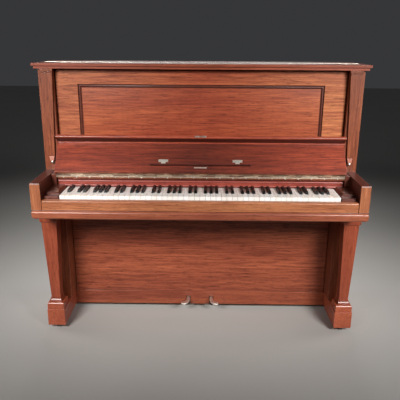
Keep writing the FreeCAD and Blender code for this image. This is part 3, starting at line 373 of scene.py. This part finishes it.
MATERIALS = {
    # Painted sheen: the panel and, more strongly, its frame grow paler towards the ends of the piano.
    "panel": mahogany("veneer_upper_panel", "X", ORANGE, seed=1, figure=0.85,
                      painted_light_fade=((0.94, 0.85, 0.86), (1.08, 1.20, 1.12))),
    "panel_frame": mahogany("veneer_panel_frame", "X", ORANGE, seed=19, figure=0.80,
                            painted_light_fade=((1.02, 1.00, 1.10), (1.32, 1.95, 2.05))),
    # The moulding's dark tone is partly a darker stain and partly painted shade in its sunk cove.
    "moulding": mahogany("panel_moulding_stain_and_shade", "X", SHADED, seed=11, figure=0.30, gloss=0.25),
    "lower": mahogany("veneer_lower_panel", "X", PANEL_BROWN, seed=2, figure=1.0),
    "bottom": mahogany("mahogany_bottom_rail", "X", PANEL_BROWN, seed=20, figure=0.55),
    # Painted light on the leaf: a painted dark reflection darkens its middle and painted sheen lightens
    # its ends.
    "leaf": mahogany("veneer_fallboard", "X", DEEP_RED, seed=3, figure=1.0, gloss=0.22,
                     painted_light_fade=((0.56, 0.52, 0.52), (1.25, 1.15, 1.05))),
    "lip": mahogany("fallboard_lip", "X", WARM_RED, seed=15, figure=0.70),
    # Painted shade: the lip's inner face and the music ledge take a dark shadow tone.
    "lip_under": mahogany("fallboard_lip_underside_painted_shade", "X", SHADOW, seed=12, figure=0.35, gloss=0.5),
    "rail_x": mahogany("mahogany_key_slip", "X", GOLDEN, seed=4, figure=0.75),
    "rail_low": mahogany("mahogany_key_bed_moulding", "X", BROWN, seed=16, figure=0.65),
    "lid": mahogany("mahogany_lid", "X", MAHOGANY, seed=13, figure=0.60, gloss=0.6),
    # Painted shade: the key blocks and key bed take the dark shaded tone of the shade beside and under
    # the keys.
    "shaded_x": mahogany("mahogany_key_blocks_painted_shade", "X", SHADED, seed=5, figure=0.40, gloss=0.7),
    "post_z": mahogany("mahogany_legs", "Z", MAHOGANY, seed=6, figure=0.55),
    "pilaster": mahogany("mahogany_pilasters", "Z", POST_BROWN, seed=17, figure=0.75),
    "side_z": mahogany("veneer_sides", "Z", POST_BROWN, seed=7, figure=0.85),
    # Painted light: the fronts of the lower stiles take a much lighter red, standing in for light that
    # the legs' shadow keeps off them.
    "side_low_painted_light": mahogany("mahogany_lower_stiles_painted_light", "Z", FOOT_RED, seed=18, figure=0.60),
    # Painted shade on the arms: their tops and inner faces take a dark shaded copy of the wood, their
    # front ends a lighter lit copy.
    "arm_shaded": mahogany("mahogany_arms_painted_shade", "Y", SHADED, seed=8, figure=0.60, gloss=0.3),
    "arm_end": mahogany("mahogany_arm_ends_lit", "Z", GOLDEN, seed=14, figure=0.75),
    "toe_y": mahogany("mahogany_toes", "Y", FOOT_RED, seed=9, figure=0.50),
    "red_x": mahogany("red_strip", "X", RED, seed=10, figure=0.30),
    # Painted highlight: the beads take a paler rosy tone for the light on their round tops.
    "bead": mahogany("name_board_beads_painted_highlight", "X", ROSE_HIGHLIGHT, seed=21, figure=0.25, gloss=0.7),
    # Painted highlight: the pilasters' drops take a pale pink tone.
    "drop": mahogany("pilaster_drops_painted_highlight", "Z", PINK_HIGHLIGHT, seed=22, figure=0.25, gloss=0.6),
    "white": key_white(),
    "black": key_black(),
    "nickel": metal("worn_nickel", (0.94, 0.88, 0.78), (0.66, 0.56, 0.45),
                    smooth=0.30, rough=0.50, scale=90.0),
    "hinge": metal("worn_hinge_plate", (0.96, 0.78, 0.60), (0.70, 0.52, 0.38),
                   smooth=0.30, rough=0.50, scale=90.0,
                   edges=(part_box("fallboard_hinge_fixed")[0].z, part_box("fallboard_hinge")[1].z)),
    "pedal": metal("pedal_nickel", (0.97, 0.90, 0.82), (0.84, 0.76, 0.66),
                   smooth=0.42, rough=0.56, scale=45.0),
    "iron": metal("dark_iron", (0.16, 0.15, 0.14), (0.07, 0.065, 0.06),
                  smooth=0.45, rough=0.65, scale=80.0),
    "bronze": metal("bronzed_iron", (0.62, 0.44, 0.20), (0.45, 0.30, 0.12),
                    smooth=0.35, rough=0.55, scale=25.0),
    "steel": metal("string_steel", (0.62, 0.62, 0.64), (0.40, 0.38, 0.36),
                   smooth=0.25, rough=0.45, scale=150.0),
    "spruce": raw_wood("spruce_board", "Z", (0.62, 0.42, 0.22), (0.46, 0.28, 0.13), seed=1),
    "softwood": raw_wood("softwood_posts", "Z", PALE_SOFTWOOD, DARK_SOFTWOOD, seed=2),
    "softwood_x": raw_wood("softwood_rails", "X", PALE_SOFTWOOD, DARK_SOFTWOOD, seed=3),
    "maple": raw_wood("action_maple", "Z", (0.60, 0.44, 0.28), (0.46, 0.31, 0.18), seed=4),
    "keystick": raw_wood("key_sticks", "Y", (0.62, 0.46, 0.29), (0.48, 0.33, 0.19), seed=5),
    "red_felt": felt("red_felt", (0.30, 0.018, 0.016), (0.16, 0.008, 0.008)),
    "white_felt": felt("hammer_felt", (0.74, 0.71, 0.64), (0.60, 0.56, 0.49)),
}


# ---------------------------------------------------------------- mesh helpers

def add_object(name, mesh, material, body):
    """Link a finished mesh, give it a material and let it ride on a body."""
    piece = bpy.data.objects.new(name, mesh)
    bpy.context.scene.collection.objects.link(piece)
    mesh.materials.clear()
    mesh.materials.append(MATERIALS[material])
    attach(piece, body)
    return piece


def finish_edges(piece, radius, segments=3, angle=28.0):
    """Round every edge sharper than an angle, in degrees, and shade the result smoothly."""
    for polygon in piece.data.polygons:
        polygon.use_smooth = True
    bevel = piece.modifiers.new("rounded_edges", "BEVEL")
    bevel.width = radius
    bevel.segments = segments
    bevel.limit_method = "ANGLE"
    bevel.angle_limit = math.radians(angle)
    bevel.harden_normals = True
    bevel.use_clamp_overlap = True


def clean_copy(node):
    """A welded copy of a CAD node's mesh with its flat faces joined up."""
    weld_distance = 2e-6
    flat_angle = math.radians(0.6)
    shape = bmesh.new()
    shape.from_mesh(NODES[node].data)
    bmesh.ops.remove_doubles(shape, verts=shape.verts, dist=weld_distance)
    bmesh.ops.dissolve_limit(shape, angle_limit=flat_angle, verts=shape.verts, edges=shape.edges)
    mesh = bpy.data.meshes.new(node + "_copy")
    shape.to_mesh(mesh)
    shape.free()
    for name in ("custom_normal", "sharp_edge", "sharp_face"):
        if name in mesh.attributes:
            mesh.attributes.remove(mesh.attributes[name])
    return mesh


def softened(node, radius, material, segments=3):
    """The CAD node's own shape with its edges eased by a radius in mm, in place of the sharp solid."""
    mesh = clean_copy(node)
    piece = add_object(node + "_finished", mesh, material, body_of_node(node))
    finish_edges(piece, radius * MM, segments)
    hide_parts(node)
    return piece


def from_bmesh(name, shape, material, node, replaces=True):
    """A piece made in mesh code that rides on the body of a CAD node, and hides that node when it
    replaces it.
    """
    bmesh.ops.recalc_face_normals(shape, faces=shape.faces)
    mesh = bpy.data.meshes.new(name)
    shape.to_mesh(mesh)
    shape.free()
    piece = add_object(name, mesh, material, body_of_node(node))
    if replaces:
        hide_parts(node)
    return piece


def second_material(piece, material, chosen):
    """Put one more material on the faces for which chosen(polygon) is true."""
    piece.data.materials.append(MATERIALS[material])
    index = len(piece.data.materials) - 1
    for polygon in piece.data.polygons:
        if chosen(polygon):
            polygon.material_index = index


def paint(node, material):
    """Give a CAD node whose shape is already right its own material."""
    mesh = NODES[node].data
    mesh.materials.clear()
    mesh.materials.append(MATERIALS[material])


def arc(centre_u, centre_v, radius, start, end, steps):
    """Points of an arc, angles in degrees from the first axis towards the second."""
    points = []
    for index in range(steps + 1):
        angle = math.radians(start + (end - start) * index / steps)
        points.append((centre_u + radius * math.cos(angle), centre_v + radius * math.sin(angle)))
    return points


def add_loop_strip(shape, first, second):
    """Join two closed rings of vertices with a band of faces."""
    count = len(first)
    for index in range(count):
        after = (index + 1) % count
        shape.faces.new([first[index], first[after], second[after], second[index]])


def add_closed(shape, rings):
    """Closed solid through rings of vertices, with a band between neighbours and a face at each end."""
    for first, second in zip(rings[:-1], rings[1:]):
        add_loop_strip(shape, first, second)
    shape.faces.new(rings[0])
    shape.faces.new(rings[-1])


def add_bar(shape, outline, x0, x1):
    """Closed bar along X with the (y, z) outline at both ends."""
    rings = [[shape.verts.new((x, y, z)) for y, z in outline] for x in (x0, x1)]
    add_closed(shape, rings)


def add_block(shape, foot, top, y0, y1):
    """Closed block between two depths; foot and top are (x0, x1, z)."""
    corners = [(foot[0], foot[2]), (foot[1], foot[2]), (top[1], top[2]), (top[0], top[2])]
    rings = [[shape.verts.new((x, y, z)) for x, z in corners] for y in (y0, y1)]
    add_closed(shape, rings)


def add_lathe(shape, centre, axis, across, profile, steps=20):
    """Closed turned form: profile is (distance along the axis, radius), with closed ends."""
    third = axis.cross(across)
    rings = []
    for along, radius in profile:
        ring = []
        for index in range(steps):
            angle = 2 * math.pi * index / steps
            offset = across * math.cos(angle) + third * math.sin(angle)
            ring.append(shape.verts.new(centre + axis * along + offset * radius))
        rings.append(ring)
    add_closed(shape, rings)


# ---------------------------------------------------------------- upper panel

def build_upper_panel():
    """Veneered frame with round top corners, a sunk moulding in its opening, and the field."""
    low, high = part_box("upper_panel")
    front, back = low.y, high.y
    corner = 13 * MM
    half_steps = 3
    opening_half, opening_top, opening_bottom = 559 * MM, 1171 * MM, 850 * MM
    moulding_width, moulding_reach = 15.5 * MM, 11 * MM
    right_arc = arc(high.x - corner, high.z - corner, corner, 0, 90, 2 * half_steps)
    left_arc = arc(low.x + corner, high.z - corner, corner, 90, 180, 2 * half_steps)
    outline = [(low.x, low.z), (high.x, low.z)] + right_arc + left_arc
    # The moulding's section, in mm: how far in from the opening's edge, how far behind the frame.
    section = [(0.0, 0.0), (0.3, 5.0), (2.2, 6.4), (4.4, 6.6), (5.4, 5.0), (7.4, 4.0), (9.6, 4.6),
               (11.0, 6.4), (12.4, 8.2), (14.6, 9.2), (16.0, 9.0)]
    shape = bmesh.new()
    face_ring = [shape.verts.new((x, front, z)) for x, z in outline]
    back_ring = [shape.verts.new((x, back, z)) for x, z in outline]
    loops = []
    for inset, depth in section:
        inset, depth = inset * MM, depth * MM
        x, top, bottom = opening_half - inset, opening_top - inset, opening_bottom + inset
        corners = [(-x, bottom), (x, bottom), (x, top), (-x, top)]
        loops.append([shape.verts.new((cx, front + depth, cz)) for cx, cz in corners])
    inner = loops[0]
    right_mid = 2 + half_steps
    left_mid = right_mid + 2 * half_steps + 1
    shape.faces.new([face_ring[0], face_ring[1], inner[1], inner[0]])
    shape.faces.new(face_ring[1:right_mid + 1] + [inner[2], inner[1]])
    shape.faces.new(face_ring[right_mid:left_mid + 1] + [inner[3], inner[2]])
    shape.faces.new(face_ring[left_mid:] + [face_ring[0], inner[0], inner[3]])
    add_loop_strip(shape, face_ring, back_ring)
    shape.faces.new(back_ring)
    for outer_loop, inner_loop in zip(loops[:-1], loops[1:]):
        add_loop_strip(shape, outer_loop, inner_loop)
    shape.faces.new(loops[-1])
    piece = from_bmesh("upper_panel_finished", shape, "panel", "upper_panel")
    field_half = opening_half - moulding_width
    field_top, field_bottom = opening_top - moulding_width, opening_bottom + moulding_width

    def in_moulding(polygon):
        x, z = abs(polygon.center.x), polygon.center.z
        in_opening = x < opening_half and opening_bottom < z < opening_top
        in_field = x < field_half and field_bottom < z < field_top
        return in_opening and not in_field and abs(polygon.center.y - front) < moulding_reach

    def on_frame_face(polygon):
        return polygon.center.y < front + 0.1 * MM

    # Partly stain, partly painted shade: the sunk moulding takes the dark moulding veneer.
    second_material(piece, "moulding", in_moulding)
    # The frame's front faces take the veneer with the stronger painted sheen towards the ends.
    second_material(piece, "panel_frame", on_frame_face)
    finish_edges(piece, 0.7 * MM, segments=2, angle=40.0)


# ---------------------------------------------------------------- case

def build_pilasters():
    """Tapered pilasters with capital, necking and a drop painted pale as a highlight, each with a
    bright turned knob below.
    """
    back_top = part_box("pilasters")[1]
    face = back_top.y
    cap_top = back_top.z / MM
    cap_bottom = cap_top - 12
    # Inner and outer edge of each part, from the pilaster's middle, in mm. In each row of parts:
    # lower edges, upper edges, bottom, top and thickness.
    capital, necking, head, foot = (-32, 26), (-29, 23), (-28.5, 22.5), (-12.5, 12.5)
    drop_head, drop_foot = (-12, 12), (-8, 8)
    parts = ((capital, capital, cap_bottom, cap_top, 18),
             (necking, necking, NECKING_BOTTOM, cap_bottom, 15),
             (foot, head, PILASTER_BOTTOM, NECKING_BOTTOM, 12),
             (drop_foot, drop_head, DROP_BOTTOM, PILASTER_BOTTOM, 18))
    # The knob is turned round a line down from the drop's lower end: (along it, radius), in mm.
    stem = [(-9.0, 3.5), (-7.0, 4.2), (-4.5, 4.2), (-2.5, 6.2)]
    ball_middle, ball_height, ball_radius = 6.0, 8.0, 8.6
    ball = [(ball_middle - ball_height * math.cos(math.radians(angle)),
             ball_radius * math.sin(math.radians(angle))) for angle in range(50, 171, 12)]
    tip = [(13.9, 0.4)]
    profile = [(along * MM, radius * MM) for along, radius in stem + ball + tip]
    shape = bmesh.new()
    knobs = bmesh.new()
    for side in (-1, 1):
        centre = side * PILASTER_X
        for lower_edges, upper_edges, z0, z1, depth in parts:
            lower = sorted(centre + side * edge for edge in lower_edges)
            upper = sorted(centre + side * edge for edge in upper_edges)
            add_block(shape, (lower[0] * MM, lower[1] * MM, z0 * MM),
                      (upper[0] * MM, upper[1] * MM, z1 * MM), face - depth * MM, face)
        anchor = Vector((centre * MM, face - 9 * MM, DROP_BOTTOM * MM))
        add_lathe(knobs, anchor, Vector((0, 0, -1)), Vector((1, 0, 0)), profile)
    piece = from_bmesh("pilasters_finished", shape, "pilaster", "pilasters")
    # Painted highlight on the drops.
    second_material(piece, "drop", lambda polygon: polygon.center.z < (PILASTER_BOTTOM - 1) * MM)
    finish_edges(piece, 1.5 * MM)
    knob = from_bmesh("pilaster_knobs", knobs, "nickel", "pilasters", replaces=False)
    finish_edges(knob, 0.2 * MM, segments=1, angle=60.0)


def build_name_board():
    """Narrow red board above the keys with two half-round beads and a felt strip under it."""
    low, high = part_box("name_board")
    face = low.y + BEAD_RADIUS
    outline = [(high.y, low.z), (face, low.z)]
    for centre in BEAD_HEIGHTS:
        outline += arc(face, centre, BEAD_RADIUS, -90, -270, 8)
    outline += [(face, high.z), (high.y, high.z)]
    shape = bmesh.new()
    add_bar(shape, outline, low.x, high.x)
    piece = from_bmesh("name_board_finished", shape, "red_x", "name_board")

    def on_bead(polygon):
        return polygon.center.y < face - 0.3 * MM and abs(polygon.normal.x) < 0.5

    # Painted highlight on the beads.
    second_material(piece, "bead", on_bead)
    finish_edges(piece, 0.4 * MM, segments=2, angle=40.0)
    thickness, chamfer, setback, end_gap = 2.0 * MM, 0.6 * MM, 1 * MM, 40 * MM
    bottom, top = low.z - thickness, low.z
    front, back = face + setback, high.y - setback
    edge = [(front, bottom + chamfer), (front + chamfer, bottom), (back, bottom), (back, top),
            (front, top)]
    strip = bmesh.new()
    add_bar(strip, edge, low.x + end_gap, high.x - end_gap)
    felt_strip = from_bmesh("name_board_felt", strip, "red_felt", "name_board", replaces=False)
    finish_edges(felt_strip, 0.4 * MM, segments=2)


def add_square_stack(shape, centre_x, centre_y, profile):
    """Closed solid of square section; profile is (width, z) from the bottom up, in mm."""
    rings = []
    for width, height in profile:
        half = width / 2
        corners = [(-half, -half), (half, -half), (half, half), (-half, half)]
        rings.append([shape.verts.new(((centre_x + dx) * MM, (centre_y + dy) * MM, height * MM))
                      for dx, dy in corners])
    add_closed(shape, rings)


def build_legs():
    """Tapered square legs: hollow and bevelled foot, groove, shaft, spreading plate and head block."""
    low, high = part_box("legs")
    foot, head = low.z / MM, high.z / MM
    centre_y = (low.y + high.y) / 2 / MM
    # Widths of the leg and heights above its lower end, in mm.
    foot_bevel = [(68, 0), (58, 1.5), (52, 4), (50, 7), (53, 8), (54, 9.2), (46.5, 15)]
    groove = [(41, 15.6), (41, 18.2), (47, 18.6)]
    shaft = [(48, 20.5), (46.5, 25), (43.5, 29), (70, LEG_SHAFT_TOP)]
    plate = [(74, LEG_SHAFT_TOP), (77, LEG_SHAFT_TOP + 1), (80, LEG_SHAFT_TOP + 3.5),
             (82, LEG_SHAFT_TOP + 6), (82, LEG_PLATE_TOP)]
    leg = [(width, foot + rise) for width, rise in foot_bevel + groove + shaft + plate]
    head_width, head_shift = 66, 8
    head_block = [(head_width, foot + LEG_PLATE_TOP), (head_width, head)]
    shape = bmesh.new()
    for side in (-1, 1):
        add_square_stack(shape, side * LEG_X, centre_y, leg)
        add_square_stack(shape, side * (LEG_X - head_shift), centre_y, head_block)
    piece = from_bmesh("legs_finished", shape, "post_z", "legs")
    finish_edges(piece, 1.0 * MM)


def faces_forward(polygon):
    """Whether a face looks towards the player."""
    return polygon.normal.y < -0.9


def on_lower_stile(polygon):
    """Whether a face of a case side is the front of its lower stile."""
    return faces_forward(polygon) and polygon.center.z < LOWER_STILE_TOP


def build_case():
    """The wooden case and lid: the CAD shapes with eased edges, and the legs."""
    for side in ("left", "right"):
        piece = softened("case_side_" + side, 2.5, "side_z")
        # Painted light on the fronts of the lower stiles.
        second_material(piece, "side_low_painted_light", on_lower_stile)
    # Painted shade: the arms' tops and inner faces are a dark shaded copy of the wood, their front ends
    # a lighter lit copy.
    arms = softened("arms", 3.0, "arm_shaded")
    second_material(arms, "arm_end", faces_forward)
    # The key bed and key blocks carry painted shade.
    softened("key_bed", 1.5, "shaded_x")
    softened("key_bed_moulding", 3.5, "rail_low", segments=4)
    softened("key_slip", 2.5, "rail_x")
    softened("key_blocks", 2.5, "shaded_x")
    softened("fallboard_rail", 1.0, "red_x")
    softened("lid_rear", 3.0, "lid")
    softened("lid_front", 3.0, "lid")
    softened("lower_panel", 2.4, "lower")
    softened("bottom_rail", 2.4, "bottom")
    build_legs()
    softened("toe_rails", 2.2, "toe_y")


# ---------------------------------------------------------------- fallboard

def leaf_point(along, out):
    """(y, z) of a point so far up the open fallboard and so far in front of it, in mm."""
    sine, cosine = math.sin(FALL_LEAN), math.cos(FALL_LEAN)
    return (FALL_FOOT_Y + (along * sine - out * cosine) * MM,
            FALL_FOOT_Z + (along * cosine + out * sine) * MM)


def build_lip():
    """Fallboard lip with a round nose, an inner face in a painted-shade tone and a small bead in its
    corner.
    """
    low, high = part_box("fallboard_lip")
    nose, bead = 6.0, 3.2
    bead_centre = LIP_BOTTOM - 3.4
    behind_leaf_face = -0.6
    outline = [(LIP_TOP, LIP_BACK)]
    outline += arc(LIP_TOP - nose, LIP_REACH - nose, nose, 0, 90, 5)
    outline += arc(LIP_BOTTOM + nose, LIP_REACH - nose, nose, 90, 180, 5)
    outline += [(LIP_BOTTOM, 3.4), (LIP_BOTTOM - 0.6, 3.0)]
    outline += arc(bead_centre, 0.0, bead, 35, 180, 6)
    outline += [(bead_centre - bead, behind_leaf_face), (LIP_BOTTOM, behind_leaf_face),
                (LIP_BOTTOM, LIP_BACK)]
    shape = bmesh.new()
    add_bar(shape, [leaf_point(along, out) for along, out in outline], low.x, high.x)
    piece = from_bmesh("fallboard_lip_finished", shape, "lip", "fallboard_lip")
    down_the_leaf = Vector((0, -math.sin(FALL_LEAN), -math.cos(FALL_LEAN)))
    broad_face = 0.01

    def on_underside(polygon):
        return polygon.normal.dot(down_the_leaf) > 0.95 and polygon.area > broad_face

    # Painted shade on the lip's broad inner face.
    second_material(piece, "lip_under", on_underside)
    finish_edges(piece, 0.5 * MM, segments=2, angle=40.0)


def build_hinge_screws():
    """Countersunk screws, nearly flush, along the fixed plate of the fallboard hinge."""
    low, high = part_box("fallboard_hinge_fixed")
    plate_thickness, screw_rise, spacing = 1.2 * MM, 6.5 * MM, 59.5 * MM
    count = int((high.x - low.x) / spacing)
    start = (low.x + high.x) / 2 - spacing * (count - 1) / 2
    shape = bmesh.new()
    head = [(0.0, 3.4), (0.10, 3.2), (0.16, 2.4), (0.18, 1.0)]
    profile = [(along * MM, radius * MM) for along, radius in head]
    for index in range(count):
        place = Vector((start + spacing * index, high.y - plate_thickness, low.z + screw_rise))
        add_lathe(shape, place, Vector((0, -1, 0)), Vector((1, 0, 0)), profile, steps=12)
    screws = from_bmesh("hinge_screws", shape, "nickel", "fallboard_hinge_fixed", replaces=False)
    finish_edges(screws, 0.03 * MM, segments=1, angle=50.0)


def build_fallboard():
    """The leaf, its lip and ledge, its fittings and its hinge."""
    softened("fallboard_leaf", 2.0, "leaf")
    build_lip()
    # Painted shade: the music ledge takes the lip's dark shadow tone.
    softened("music_ledge", 0.4, "lip_under")
    softened("fallboard_fittings", 0.3, "nickel", segments=2)
    softened("fallboard_hinge", 0.2, "hinge", segments=2)
    softened("fallboard_hinge_fixed", 0.2, "hinge", segments=2)
    build_hinge_screws()


# ---------------------------------------------------------------- keys and action

def build_keys():
    """White and black keys, with bare wood behind the name board."""
    white_nodes = ["white_keys"] + ["key_" + letter for letter in "cdefgab"]
    black_nodes = ["black_keys"] + ["key_" + letter + "_sharp" for letter in "cdfga"]
    stick_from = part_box("name_board")[0].y + 3 * MM
    for nodes, radius, material in ((white_nodes, 1.1, "white"), (black_nodes, 1.3, "black")):
        for node in nodes:
            piece = softened(node, radius, material)
            second_material(piece, "keystick", lambda polygon: polygon.center.y > stick_from)


def build_action():
    """Hammers with felt heads on maple shanks, and maple dampers."""
    for node in ("hammers_white", "hammers_black", "hammers_middle"):
        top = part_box(node)[1].z
        piece = softened(node, 0.6, "maple", segments=2)
        second_material(piece, "white_felt", lambda polygon: polygon.center.z > top - HAMMER_FELT)
    softened("dampers", 0.5, "maple", segments=2)


# ---------------------------------------------------------------- pedals

def build_pedal(side, name):
    """Nickel pedal with a crowned top: a straight shank that sweeps outwards into a round paw."""
    low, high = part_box("pedal_" + name)
    middle = (low.z + high.z) / 2
    half_height = (high.z - low.z) / 2
    # The pedal's route from its back end, in mm: outwards, depth in the frame, half width.
    shank = [(0, 186, 7.9), (0, 61, 7.9)]
    sweep = [(0.3, 42, 8.2), (1.5, 31, 8.8), (4.5, 21, 10.2), (9.5, 12.5, 11.8)]
    paw = [(16, 6.5, 13.0), (22.5, 3.0, 13.4), (28.0, 0.4, 12.2), (32.0, -1.2, 9.6), (35.0, -2.2, 5.4),
           (36.6, -2.6, 2.0)]
    path = shank + sweep + paw
    round_section = [(math.cos(math.radians(angle)), math.sin(math.radians(angle)))
                     for angle in range(0, 360, 20)]
    rings = []
    shape = bmesh.new()
    for index, (out, depth, half_width) in enumerate(path):
        before = path[max(index - 1, 0)]
        after = path[min(index + 1, len(path) - 1)]
        tangent = Vector((after[0] - before[0], after[1] - before[1])).normalized()
        across = Vector((-tangent.y, tangent.x))
        fullness = min(1.0, 0.35 + half_width / 11.0)
        ring = []
        for cosine, sine in round_section:
            spread = math.copysign(abs(cosine) ** 0.7, cosine) * half_width
            rise = math.copysign(abs(sine) ** 0.8, sine) * half_height * fullness
            x = side * (PEDAL_X + out + across.x * spread) * MM
            y = (depth + across.y * spread) * MM
            ring.append(shape.verts.new((x, y, middle + rise)))
        rings.append(ring)
    add_closed(shape, rings)
    piece = from_bmesh("pedal_" + name + "_finished", shape, "pedal", "pedal_" + name)
    finish_edges(piece, 0.6 * MM, segments=2, angle=50.0)


# ---------------------------------------------------------------- what keeps its CAD shape

def paint_the_rest():
    """Materials for the nodes that are shown as they are."""
    finishes = {
        "nickel": ["lid_hinge"],
        "iron": ["caster_housings", "front_caster_wheels", "rear_caster_wheels", "action_frame"],
        "bronze": ["iron_plate"],
        "steel": ["strings", "tuning_pins"],
        "spruce": ["sound_board"],
        "softwood": ["back_frame", "pedal_rod_left", "pedal_rod_right"],
        "softwood_x": ["pin_block", "bottom_board", "key_frame", "trap_lever_left", "trap_lever_right"],
    }
    for material, nodes in finishes.items():
        for node in nodes:
            paint(node, material)


build_case()
build_pilasters()
build_name_board()
build_upper_panel()
build_fallboard()
build_keys()
build_action()
build_pedal(-1, "left")
build_pedal(1, "right")
paint_the_rest()


# ---------------------------------------------------------------- floor, light and camera

def add_floor():
    """Large plain floor under the piano."""
    mesh = bpy.data.meshes.new("floor")
    half = 14.0
    corners = [(-half, -half, 0), (half, -half, 0), (half, half, 0), (-half, half, 0)]
    mesh.from_pydata(corners, [], [(0, 1, 2, 3)])
    mesh.materials.append(floor_finish())
    floor = bpy.data.objects.new("floor", mesh)
    bpy.context.scene.collection.objects.link(floor)


def add_softbox(name, place, aim, width, height, power, spread):
    """Rectangular lamp aimed at a point; power in watts, spread in degrees."""
    data = bpy.data.lights.new(name, "AREA")
    data.shape = "RECTANGLE"
    data.size = width
    data.size_y = height
    data.energy = power
    data.spread = math.radians(spread)
    lamp = bpy.data.objects.new(name, data)
    lamp.location = place
    lamp.rotation_mode = "QUATERNION"
    lamp.rotation_quaternion = (Vector(aim) - Vector(place)).to_track_quat("-Z", "Y")
    bpy.context.scene.collection.objects.link(lamp)


def add_lights():
    """Softboxes: an upper and a lower one in front for each half, and weak ones beside and behind."""
    for name, side, across, power in (("key_left", -1, 1.25, 4.1), ("key_right", 1, 1.50, 4.5)):
        for part, lamp_height, aim_height in (("_upper", 2.05, 0.98), ("_lower", 1.65, 0.36)):
            add_softbox(name + part, (side * across, -2.0, lamp_height), (side * 0.60, 0, aim_height),
                        width=0.75, height=0.4, power=power, spread=52)
    for name, side in (("beside_left", -1), ("beside_right", 1)):
        add_softbox(name, (side * 2.8, 0.6, 1.3), (side * 0.75, 0.1, 0.6),
                    width=1.0, height=1.2, power=4, spread=70)
    add_softbox("behind", (0, 3.0, 2.9), (0, 0.3, 0.6), width=2.4, height=1.0, power=14, spread=100)


def add_world():
    """Dim studio surroundings."""
    world = bpy.data.worlds.new("studio")
    world.use_nodes = True
    background = world.node_tree.nodes["Background"]
    background.inputs["Color"].default_value = (0.93, 0.95, 1.0, 1.0)
    background.inputs["Strength"].default_value = 0.04
    bpy.context.scene.world = world


def add_camera():
    """Camera a little right of centre and above the lid, looking down at the keyboard."""
    yaw, pitch, roll = math.radians(-0.541), math.radians(17.294), math.radians(0.366)
    place = Vector((0.0207, -2.3483, 1.3552))
    ahead = math.cos(pitch)
    forward = Vector((math.sin(yaw) * ahead, math.cos(yaw) * ahead, -math.sin(pitch)))
    level = Vector((math.cos(yaw), -math.sin(yaw), 0.0))
    upright = level.cross(forward)
    right = math.cos(roll) * level + math.sin(roll) * upright
    up = -math.sin(roll) * level + math.cos(roll) * upright
    data = bpy.data.cameras.new("camera")
    data.sensor_width = 36.0
    data.lens = 45.62
    camera = bpy.data.objects.new("camera", data)
    rotation = Matrix((right, up, -forward)).transposed().to_4x4()
    camera.matrix_world = Matrix.Translation(place) @ rotation
    bpy.context.scene.collection.objects.link(camera)
    bpy.context.scene.camera = camera


add_floor()
add_lights()
add_world()
add_camera()
bpy.context.scene.view_settings.view_transform = "Standard"
